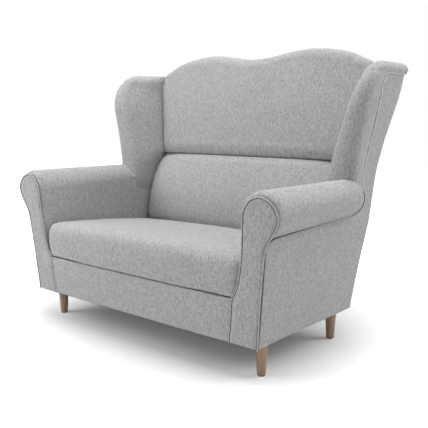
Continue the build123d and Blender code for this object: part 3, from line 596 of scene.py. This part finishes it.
def lumbar_loop(x):
    share = min(abs(x) / LUMBAR_HALF, 1.0) ** 6
    loop = []
    for (ya, za), (yb, zb) in zip(resample(LUMBAR_MID, count=28), resample(LUMBAR_END, count=28)):
        loop.append((x, FRONT + blend(ya, yb, share), blend(za, zb, share)))
    top = loop[-1][2]
    loop.append((x, rear_y(top, LUMBAR_BACK), top + 1.0))
    for z in (520.0, LUMBAR_LOW):
        loop.append((x, rear_y(z, LUMBAR_BACK), z))
    return loop


stations = [-515, -513, -508, -500, -488] + list(range(-460, 461, 40)) + [488, 500, 508, 513, 515]
lumbar = loft("lumbar_cushion", [lumbar_loop(x) for x in stations])
cushion(lumbar, ("lower_back_cover", "lower_back_foam"), (-520, 100, 350), (520, 330, 682))

upper = from_node("upper_back_foam", "upper_back_cushion")
UPPER_FOOT_Z = 684.0
UPPER_SPREAD = 0.263  # half width gained for each millimetre of height
UPPER_END_RUN = 62.0
UPPER_END_BACK = 20.0
UPPER_LOW_Z = 770.0  # below it the cushion is drawn down to the crease
UPPER_LOW_RUN = 80.0
UPPER_LOW_DROP = 9.0
UPPER_LEAST = 6.2


def upper_ends(co):
    """Rounds the upper cushion's ends back to the wings and draws its foot down to the crease."""
    side = np.minimum(CREASE_HALF + np.maximum(co[:, 2] - UPPER_FOOT_Z, 0.0) * UPPER_SPREAD, TOP_HALF)
    t = np.clip((np.abs(co[:, 0]) - side + UPPER_END_RUN) / UPPER_END_RUN, 0, 1)
    front = np.clip((REAR + (co[:, 2] - BASE_H) * tan(RAKE) - 44.0 - co[:, 1]) / 30.0, 0, 1)
    co[:, 1] += UPPER_END_BACK * (1 - np.sqrt(1 - t * t)) * front
    low = np.clip((UPPER_LOW_Z - co[:, 2]) / UPPER_LOW_RUN, 0, 1)
    co[:, 2] -= UPPER_LOW_DROP * low * low * (3 - 2 * low)
    return co


upper_nodes = ("upper_back_cover", "upper_back_foam")
cushion(upper, upper_nodes, (-566, 240, 662), (566, 440, 1134), upper_ends, UPPER_LEAST)

# Seam between the roll of the arm and the outside panel
SEAM_FRONT = 482.0
SEAM_REAR = 497.0
SEAM_RUN = 556.0
SEAM_DIP = 30.0  # notch at the facing's neck
DIP_RUN = 64.0
JOIN = FRONT + SEAM_RUN


def seam_z(y):
    """Seam under the roll: it starts low at the facing's neck and rises to the rear."""
    along = (y - FRONT) / SEAM_RUN
    notch = SEAM_DIP * (1 - round_share((y - FRONT + 12.0) / DIP_RUN))
    return blend(SEAM_FRONT, SEAM_REAR, along) - notch


# Arms: a roll that tapers a little to the rear, and the padded inside of the arm
ARM_END_Y = FRONT + 565.0
FACE_BACK = 9.0
FACE_Z = 546.0
ARM_X = 592.0  # middle of the roll
ARM_Z = 555.0
ARM_R_FACE = 69.5  # at the facing
ARM_R_FRONT = 74.5  # where it has swelled out behind the facing
ARM_R_REAR = 68.0
END_RUN = 44.0  # rounding of the rear end
END_DRAW = 27.0
PAD_X = 556.0  # outer face of the padding, out of sight
PAD_LOW = 332.0
WALL_X = 519.0  # inside of the arm behind the roll
WALL_TOP = 575.0
ROLL_UNDER = radians(72.0)


def arm_loop(y, radius, cz, low):
    """Section of the roll and of the padding below it, on the plane y."""
    loop = []
    for k in range(10):
        loop.append((ARM_X - radius + 1.5 * sin(pi * k / 10), y, low + (cz - low) * k / 10))
    for k in range(37):
        a = pi - (pi + ROLL_UNDER) * k / 36
        loop.append((ARM_X + radius * cos(a), y, cz + radius * sin(a)))
    x_end = ARM_X + radius * cos(ROLL_UNDER)
    z_end = cz - radius * sin(ROLL_UNDER)
    hem = min(z_end - 1.0, seam_z(y) - 4.0)
    loop += [(min(x_end, side_x(hem) - 1.0), y, hem), (side_x(hem) - 14.0, y, hem)]
    loop += [(x_end - 22, y, z_end + 3), (PAD_X, y, z_end + 3)]
    loop += [(PAD_X, y, blend(z_end, low, 0.5)), (PAD_X, y, low)]
    return loop


def arm_half(name):
    loops = []
    start = front_y(FACE_Z) + FACE_BACK
    stations = [0, 2, 5, 9, 14, 20, 28, 38] + list(range(58, 520, 20))
    for d in stations:
        y = start + d
        along = d / (ARM_END_Y - start)
        grow = round_share(d / 34.0)
        radius = blend(ARM_R_FACE, blend(ARM_R_FRONT, ARM_R_REAR, along), grow)
        cz = blend(FACE_Z + 0.5, blend(ARM_Z + 0.5, ARM_Z, along), grow)
        leaned = []
        for x, yy, z in arm_loop(y, radius, cz, PAD_LOW):
            lean = (FACE_Z - z) * tan(LEAN) * (1 - ease(d / 120.0))
            leaned.append((x, yy + lean, z))
        loops.append(leaned)
    for share in (0.0, 0.25, 0.5, 0.7, 0.85, 0.95, 1.0):
        y = ARM_END_Y - END_RUN + END_RUN * share
        radius = ARM_R_REAR - END_DRAW * (1 - sqrt(1 - share * share))
        loops.append(arm_loop(y, radius, ARM_Z, PAD_LOW + 8.0))
    wall_levels = (PAD_LOW, 420.0, 500.0, WALL_TOP)
    outline = [(WALL_X, z) for z in wall_levels] + [(PAD_X, z) for z in reversed(wall_levels)]
    wall = []
    for share in (0.0, 0.3, 0.6, 1.0):
        ring = []
        for x, z in outline:
            ring.append((x, blend(ARM_END_Y - 60.0, rear_y(z, 40.0), share), z))
        wall.append(ring)
    obj = loft(name, loops, wall)
    remesh(obj, FINE_VOXEL, 4)
    return obj


arm_right = arm_half("arm_roll_right")
arm_left = mirrored(arm_right, "arm_roll_left")
for side, obj in (("right", arm_right), ("left", arm_left)):
    dress(obj, FABRIC, "upholstery", "arm_cover_" + side, "arm_foam_" + side)

# Wings: a fat rolled edge up the front, round the top corner and back along the top
WING_TOP = 1052.5
LIP_Z = 1005.0
WING_R = 34.0
CORNER_R = 178.0
WING_FOOT = 468.0
WING_TIP = 504.0  # front of the roll behind the front edge of the base
WING_NOSE = 44.0
WING_PROUD = 13.0  # roll outside the panel
WING_IN_LOW = 507.0
WING_IN_HIGH = 611.0
LOW_BACK_END = 82.0  # ends of the lower back cushion in front of the rear face


def wing_front(z):
    over = max(min(z, WING_TOP) - (WING_TOP - CORNER_R), 0.0)
    return FRONT + WING_TIP + CORNER_R - sqrt(max(CORNER_R**2 - over**2, 0.0))


def welt_y(z):
    low = blend(600.0, 640.0, (z - 560.0) / 253.0)
    return FRONT + low + 45.0 * ease((z - 955.0) / 70.0)


def wing_root(z):
    lower_u = (z - BASE_H - LOW_BACK_END * sin(RAKE)) / cos(RAKE)
    upper_u = (z - BASE_H - FOAM_BACK * sin(RAKE)) / cos(RAKE)
    lower_x = blend(CREASE_HALF, LUMBAR_HALF, (CREASE_U - lower_u) / 90.0)
    upper_x = min(CREASE_HALF + (upper_u - CREASE_U) * 0.255, TOP_HALF)
    return max(lower_x, upper_x) + 2.0


def wing_loop(z):
    over = max(z - (WING_TOP - WING_R), 0.0)
    shrink = WING_R - sqrt(max(WING_R**2 - over**2, 0.0))
    sunk = 19.0 * (1 - ease((z - WING_FOOT) / 110.0))
    inner = blend(WING_IN_LOW, WING_IN_HIGH, (z - 640.0) / 345.0) + shrink + sunk
    tail = 1 - ease((z - 500.0) / 70.0)
    crown = z > LIP_Z
    proud = WING_PROUD * (round_share((z - LIP_Z) / 22.0) if crown else 1.0)
    outer = blend(side_x(z) + proud - shrink, 566.0, tail)
    tip = wing_front(z)
    middle = (inner + outer) / 2
    half = (outer - inner) / 2
    nose = tip + WING_NOSE
    end = rear_edge(z) + 6.0 - 0.7 * shrink
    welt = end - 2.0 if crown else welt_y(z)
    root = rear_y(z, FOAM_BACK)
    back = outer - 14.0 if crown else min(side_x(z) - 7.0, outer - 4.0)
    root_x = min(wing_root(z) + 8.0 * (1 - ease((z - WING_FOOT) / 70.0)), outer - 40.0)
    loop = []
    if crown:
        for k in range(4):
            loop.append((root_x - 4.0, blend(end, root + 8.0, k / 4), z))
    for k in range(14):
        t = k / 14
        loop.append((blend(root_x, inner, t) - 3.0 * sin(pi * t), blend(root, nose, t), z))
    for k in range(25):
        a = pi - pi * k / 24
        loop.append((middle + half * cos(a), nose - WING_NOSE * sin(a), z))
    for k in range(1, 11):
        t = k / 10
        fall = 1.0 if crown else sqrt(1 - t**3.3)
        loop.append((blend(back, outer, fall), blend(nose, welt, t), z))
    if crown:
        loop += [(blend(outer, back, 0.5), end, z), (back, end, z)]
    for k in range(1, 6):
        if crown:
            loop.append((blend(back, root_x - 4.0, k / 6), end, z))
        else:
            loop.append((back, blend(welt + 0.6, root, k / 5), z))
    return loop


def wing_half(name):
    body = [wing_loop(z) for z in list(np.arange(WING_FOOT, LIP_Z, 11.0)) + [LIP_Z]]
    crown = []
    for share in (0.002, 0.06, 0.14, 0.25, 0.4, 0.55, 0.7, 0.82, 0.91, 0.96):
        crown.append(wing_loop(LIP_Z + share * (WING_TOP - LIP_Z)))
    obj = loft(name, body, crown)
    remesh(obj, FINE_VOXEL, 5)
    return obj


wing_right = wing_half("wing_right")
wing_left = mirrored(wing_right, "wing_left")
for side, obj in (("right", wing_right), ("left", wing_left)):
    dress(obj, FABRIC, "upholstery", "wing_cover_" + side, "wing_foam_" + side)

# Arm facings and their piping, on the leaning front
KEYHOLE = (
    (460, 121), (468, 183), (474, 235), (479, 276), (494, 301), (505, 329), (514, 373), (520, 412),
    (524, 454), (526, 501), (528, 538), (532, 563), (542, 582), (561, 603), (590, 614), (607, 612),
    (629, 603), (647, 587), (659, 567), (663, 548), (655, 523), (639, 495), (626, 476), (613, 450),
    (607, 413), (600, 356), (592, 291), (585, 210), (577, 121),
)
edge = resample(KEYHOLE, 4.0)
# Inset from the edge and depth behind the front
FACING_RIM = (
    (3.0, 12.0), (3.0, 6.0), (3.6, 3.4), (5.0, 1.8),
    (8.0, 0.4), (13.0, -0.8), (20.0, -1.4), (28.0, -1.6),
)


def inset_loop(loop, amount):
    """Moves a clockwise outline inwards, cuts it off just above the bottom edge and spaces it evenly."""
    pts = np.array(loop)
    ahead = np.roll(pts, -1, axis=0) - np.roll(pts, 1, axis=0)
    ahead[0] = pts[1] - pts[0]
    ahead[-1] = pts[-1] - pts[-2]
    norm = np.stack([ahead[:, 1], -ahead[:, 0]], axis=1)
    norm /= np.linalg.norm(norm, axis=1, keepdims=True)
    moved = pts + norm * amount
    floor_v = pts[0, 1] + 0.35 * amount
    kept = moved[moved[:, 1] > floor_v + 1.0]
    kept = np.concatenate([[(kept[0, 0], floor_v)], kept, [(kept[-1, 0], floor_v)]])
    run = np.concatenate([[0], np.cumsum(np.linalg.norm(np.diff(kept, axis=0), axis=1))])
    places = np.linspace(0, run[-1], 240)
    return np.stack([np.interp(places, run, kept[:, 0]), np.interp(places, run, kept[:, 1])], axis=1)


def facing(name):
    loops = []
    for inset, depth in FACING_RIM:
        loops.append([on_front(x, v, depth) for x, v in inset_loop(edge, inset)])
    return loft(name, loops)


facing_right = facing("facing_right")
facing_left = mirrored(facing_right, "facing_left")
for side, obj in (("right", facing_right), ("left", facing_left)):
    dress(obj, FABRIC, "upholstery", "arm_facing_" + side)

welt_right = tube("arm_piping_right", [on_front(x, v, 2.2) for x, v in inset_loop(edge, 0.6)], 2.6)
welt_left = mirrored(welt_right, "arm_piping_left")
for side, obj in (("right", welt_right), ("left", welt_left)):
    dress(obj, PIPING, "welt_fabric", "arm_welt_" + side)


# Flat panels: a grid with its rim tucked in
def along(pts, axis):
    """Distance from the first row or column, along the net."""
    steps = np.linalg.norm(np.diff(pts, axis=axis), axis=2)
    return np.concatenate([np.zeros_like(np.take(steps, [0], axis)), np.cumsum(steps, axis=axis)], axis=axis)


def grid(name, rows, tuck, thick, push, open_low=None, open_high=None):
    """rows of points on the face; push gives the way in; the rim turns in by thick over tuck.
    open_low and open_high mark the columns whose first or last row runs on into another field."""
    pts = np.array(rows, float)
    count, size, _ = pts.shape
    gap_u = along(pts, 1)
    gap_v = along(pts, 0)
    near_u = np.minimum(gap_u, gap_u[:, -1:] - gap_u)
    from_low = gap_v.copy()
    from_high = gap_v[-1:, :] - gap_v
    if open_low is not None:
        from_low[:, open_low] = tuck
    if open_high is not None:
        from_high[:, open_high] = tuck
    near_v = np.minimum(from_low, from_high)
    near = np.minimum(near_u, near_v)
    share = np.clip(near / tuck, 0, 1)
    sink = thick * (1 - np.sqrt(1 - (1 - share) ** 2))
    behind = pts + (thick + 1.0) * np.array(push)
    pts = pts + sink[:, :, None] * np.array(push)
    verts = [tuple(p) for row in pts for p in row] + [tuple(p) for row in behind for p in row]
    layer = count * size
    faces = []
    for i in range(count - 1):
        for j in range(size - 1):
            a = i * size + j
            faces.append((a, a + 1, a + size + 1, a + size))
            faces.append((layer + a, layer + a + size, layer + a + size + 1, layer + a + 1))
    rim = list(range(size))
    rim += [i * size + size - 1 for i in range(1, count)]
    rim += [(count - 1) * size + j for j in range(size - 2, -1, -1)]
    rim += [i * size for i in range(count - 2, 0, -1)]
    for a, b in zip(rim, rim[1:] + rim[:1]):
        faces.append((a, b, layer + b, layer + a))
    return make(name, verts, faces)


def marks(low, high, step, rim):
    """Even divisions with closer ones near both ends."""
    inner = list(np.linspace(low + rim[-1], high - rim[-1], max(int((high - low) / step), 2)))
    return [low + r for r in rim[:-1]] + inner + [high - r for r in reversed(rim[:-1])]


RIM = (0.0, 0.6, 1.5, 3.0, 5.0, 8.0)
TUCK = 7.0
DROP = 9.0  # bottom edge of the fabric at the rear, below the front


def face_in(z):
    return float(np.interp(z, [121, 183, 235, 276], [460, 468, 474, 479])) - 0.5


rows = []
for v in marks(121.0, SEAM_Z - 2.5, 16.0, RIM):
    half = face_in(v)
    across = marks(-1.0, 1.0, 0.05, tuple(r / 470.0 for r in RIM))
    rows.append([on_front(half * t, v, -1.0 + 2.0 * t**4) for t in across])
front_piece = grid("front_panel_cover", rows, TUCK, 6.0, (0, 1, 0))
dress(front_piece, FABRIC, "upholstery", "front_panel")

# Outside of the arm and wing: one fabric, in two fields that run into each other behind the arm
def outside_half(name):
    across = marks(0.0, 1.0, 0.03, tuple(r / 640.0 for r in RIM))
    lower = []
    for t in marks(0.0, 1.0, 0.04, tuple(r / 365.0 for r in RIM)):
        row = []
        for s in across:
            y_top = blend(front_y(SEAM_FRONT) + 7.0, rear_edge(SEAM_REAR), s)
            z = blend(BASE_H + 1.0 - DROP * ease(s), seam_z(y_top), t)
            y = blend(front_y(z) + 7.0, rear_edge(z), s)
            row.append((side_x(z) + 1.0, y, z))
        lower.append(row)
    runs_on = np.array([p[1] > JOIN - 4.0 for p in lower[-1]])
    upper_rows = []
    for t in marks(0.0, 1.0, 0.025, tuple(r / 520.0 for r in RIM)):
        z = blend(SEAM_REAR, PANEL_TOP - 1.0, t)
        begin = welt_y(z) if z > 620.0 else blend(JOIN, welt_y(620.0), ease((z - 540.0) / 80.0))
        steps = marks(0.0, 1.0, 0.06, tuple(r / 200.0 for r in RIM))
        upper_rows.append([(side_x(z) + 1.0, blend(begin, rear_edge(z), s), z) for s in steps])
    first = grid(name, lower, TUCK, 7.0, (-1, 0, 0), open_high=runs_on)
    every = np.ones(len(upper_rows[0]), bool)
    second = grid(name + "_wing", upper_rows, TUCK, 7.0, (-1, 0, 0), open_low=every)
    return first, second


for side in ("right", "left"):
    first, second = outside_half("outside_arm_" + side)
    if side == "left":
        flip(first)
        flip(second)
    dress(first, FABRIC, "upholstery", "side_panel_" + side)
    dress(second, FABRIC, "upholstery")

# Outside back
HUMP_RISE = 30.0
END_FALL = 76.0
BACK_HALF = 650.0
BACK_CORNER_U = 911.0
BACK_SHORT = 40.0  # top edge below the top of the cushion


def top_u(x):
    beyond = max(abs(x) - HUMP_X, 0.0) / (TOP_HALF - HUMP_X)
    return DIP_U + HUMP_RISE * ease(abs(x) / HUMP_X) - END_FALL * beyond**2


rows = []
for t in marks(0.0, 1.0, 0.03, tuple(r / 860.0 for r in RIM)):
    row = []
    for s in marks(-1.0, 1.0, 0.03, tuple(r / 620.0 for r in RIM)):
        x = abs(s) * BACK_HALF
        high = top_u(min(x, TOP_HALF)) - BACK_SHORT
        if x > TOP_HALF:
            high = blend(high, BACK_CORNER_U, (x - TOP_HALF) / (BACK_HALF - TOP_HALF))
        u = blend(1.0 - DROP, high, t)
        z = BASE_H + u * cos(RAKE)
        half = side_x(z) - 7.0
        proud = blend(1.0, abs(s) ** 6, ease((t - 0.55) / 0.4))
        row.append(on_back(s * half, u, (rear_y(z) - rear_edge(z)) * cos(RAKE) * proud))
    rows.append(row)
rear_piece = grid("outside_back", rows, TUCK, 4.0, (0, -1, 0))
dress(rear_piece, FABRIC, "upholstery", "rear_panel")

# Piping along the rear of each wing roll; its pale tone is a painted highlight along the cord
WELT_TOP = 1009.0
WELT_OUT = 3.6
welt_line = []
for z in np.arange(585.0, WELT_TOP, 12.0):
    welt_line.append((side_x(z) + WELT_OUT, welt_y(z) - 1.0, z))
for t in (0.15, 0.35, 0.6, 0.8, 0.97):
    y = blend(welt_y(WELT_TOP), rear_y(WELT_TOP + 3.0) - 8.0, t)
    welt_line.append((side_x(WELT_TOP + 1.0) + WELT_OUT, y, WELT_TOP))
wing_welt_right = tube("wing_piping_right", resample(welt_line, 6.0), 3.3)
wing_welt_left = mirrored(wing_welt_right, "wing_piping_left")
for obj in (wing_welt_right, wing_welt_left):
    dress(obj, WELT_HIGHLIGHT, "welt_fabric")

# Painted shade: a dark cord in the seam under each roll, up round its rear end, stands in for the shadow in
# the seam
seam_line = []
neck_y = front_y(NECK_Z)
seam_ys = [neck_y + 6.0 + step for step in (0.0, 2.0, 5.0, 9.0, 14.0, 20.0, 27.0, 35.0, 44.0, 54.0, 65.0)]
for y in seam_ys + list(np.arange(neck_y + 84.0, JOIN - 30.0, 14.0)):
    seam_line.append((side_x(seam_z(y)) + 2.6, y, seam_z(y) - 1.0))
SEAM_CURL = ((0.30, -66), (0.48, -56), (0.60, -42), (0.68, -26), (0.73, -8), (0.76, 10), (0.78, 26))
for share, turn in SEAM_CURL:
    reach = ARM_R_REAR + 1.0 - END_DRAW * (1 - sqrt(1 - share * share))
    y = ARM_END_Y - END_RUN + END_RUN * share
    seam_line.append((ARM_X + reach * cos(radians(turn)), y, ARM_Z + reach * sin(radians(turn))))
seam_shade_right = tube("roll_seam_right", resample(seam_line, 6.0), 2.1)
seam_shade_left = mirrored(seam_shade_right, "roll_seam_left")
for obj in (seam_shade_right, seam_shade_left):
    dress(obj, SEAM_SHADE, "welt_fabric")

# Painted shade: dark cords inside each facing's piping, and down its outer edge beside the outside panel,
# stand in for the shadow in these seams
seam_path = [p for p in inset_loop(edge, 4.0) if p[0] < 580.0 or p[1] > 455.0]
facing_seam_shade = tube("facing_seam_right", [on_front(x, v, 1.1) for x, v in seam_path], 0.9)
corner_line = [(side_x(z) + 0.2, front_y(z) + 6.0, z) for z in np.arange(124.0, 461.0, 12.0)]
corner_seam_shade = tube("corner_seam_right", resample(corner_line, 6.0), 1.3)
for right, look in ((facing_seam_shade, SOFT_SEAM_SHADE), (corner_seam_shade, SEAM_SHADE)):
    left = mirrored(right, right.name.replace("right", "left"))
    dress(right, look, "welt_fabric")
    dress(left, look, "welt_fabric")

# Painted shade: a dark cord in the crease between the back cushions stands in for the shadow in the crease
CREASE_Z = 678.0
CREASE_MID = 673.0  # behind the front edge of the base
CREASE_END = 693.0
crease_line = []
for x in range(-488, 489, 16):
    crease_line.append((x, FRONT + blend(CREASE_MID, CREASE_END, (abs(x) / 490.0) ** 6), CREASE_Z))
dress(tube("crease_seam_shade", crease_line, 2.4), SOFT_SEAM_SHADE, "welt_fabric")


# Floor, light and background
def stage_floor():
    half = 9000
    corners = [(-half, -half, 0), (half, -half, 0), (half, half, 0), (-half, half, 0)]
    floor = make("floor", corners, [(0, 1, 2, 3)])
    mat, tree, shader, node, math = graph("floor")
    link = tree.links.new
    shader.inputs["Base Color"].default_value = (0.82, 0.82, 0.82, 1)
    shader.inputs["Roughness"].default_value = 0.9
    shader.inputs["Specular IOR Level"].default_value = 0.1
    # Painted shadow: the floor's glow seen by the camera fades from 1.0 beyond 1.40 m to 0.09 inside 0.40 m
    # of the middle, darkening the floor under and around the sofa
    reach = node("ShaderNodeVectorMath", operation="LENGTH")
    link(node("ShaderNodeTexCoord").outputs["Object"], reach.inputs[0])
    shadow_fade = node("ShaderNodeMapRange", interpolation_type="SMOOTHSTEP")
    link(reach.outputs["Value"], shadow_fade.inputs["Value"])
    shadow_fade.inputs["From Min"].default_value = 0.40
    shadow_fade.inputs["From Max"].default_value = 1.40
    shadow_fade.inputs["To Min"].default_value = 0.09
    shadow_fade.inputs["To Max"].default_value = 1.0
    path = node("ShaderNodeLightPath")
    seen = math("MAXIMUM", path.outputs["Is Camera Ray"], path.outputs["Is Glossy Ray"])
    link(math("MULTIPLY", shadow_fade.outputs[0], seen), shader.inputs["Emission Strength"])
    shader.inputs["Emission Color"].default_value = (1, 1, 1, 1)
    floor.data.materials.append(mat)


stage_floor()

world = bpy.data.worlds.new("studio")
scene.world = world
world.use_nodes = True
wt = world.node_tree
back = wt.nodes["Background"]
path = wt.nodes.new("ShaderNodeLightPath")
seen = wt.nodes.new("ShaderNodeMath")
seen.operation = "MAXIMUM"
wt.links.new(path.outputs["Is Camera Ray"], seen.inputs[0])
shiny = wt.nodes.new("ShaderNodeMath")
shiny.operation = "MAXIMUM"
wt.links.new(path.outputs["Is Glossy Ray"], shiny.inputs[0])
wt.links.new(path.outputs["Is Transmission Ray"], shiny.inputs[1])
wt.links.new(shiny.outputs[0], seen.inputs[1])
around = wt.nodes.new("ShaderNodeTexCoord")
lean = wt.nodes.new("ShaderNodeVectorMath")
lean.operation = "DOT_PRODUCT"
wt.links.new(around.outputs["Generated"], lean.inputs[0])
lean.inputs[1].default_value = (0.14, 0.08, 0.0)
ambient = wt.nodes.new("ShaderNodeMath")
wt.links.new(lean.outputs["Value"], ambient.inputs[0])
ambient.inputs[1].default_value = 0.30
level = wt.nodes.new("ShaderNodeMix")
wt.links.new(seen.outputs[0], level.inputs["Factor"])
wt.links.new(ambient.outputs[0], level.inputs[2])
level.inputs[3].default_value = 1.0
wt.links.new(level.outputs[0], back.inputs["Strength"])
back.inputs["Color"].default_value = (1, 1, 1, 1)


def area(name, place, aim, size, power):
    lamp = bpy.data.lights.new(name, "AREA")
    lamp.shape = "RECTANGLE"
    lamp.size = size[0]
    lamp.size_y = size[1]
    lamp.energy = power
    obj = bpy.data.objects.new(name, lamp)
    scene.collection.objects.link(obj)
    obj.location = place
    obj.rotation_euler = (Vector(aim) - Vector(place)).to_track_quat("-Z", "Y").to_euler()


area("key", (-1.6, -2.0, 1.7), (-0.2, -0.2, 0.45), (1.5, 1.5), 38)
area("top", (0.1, -0.1, 4.0), (0, 0, 0.4), (3.0, 3.0), 120)
area("rim", (3.0, 2.6, 3.0), (0.2, 0.1, 0.7), (1.8, 2.0), 80)

scene.view_settings.view_transform = "Standard"
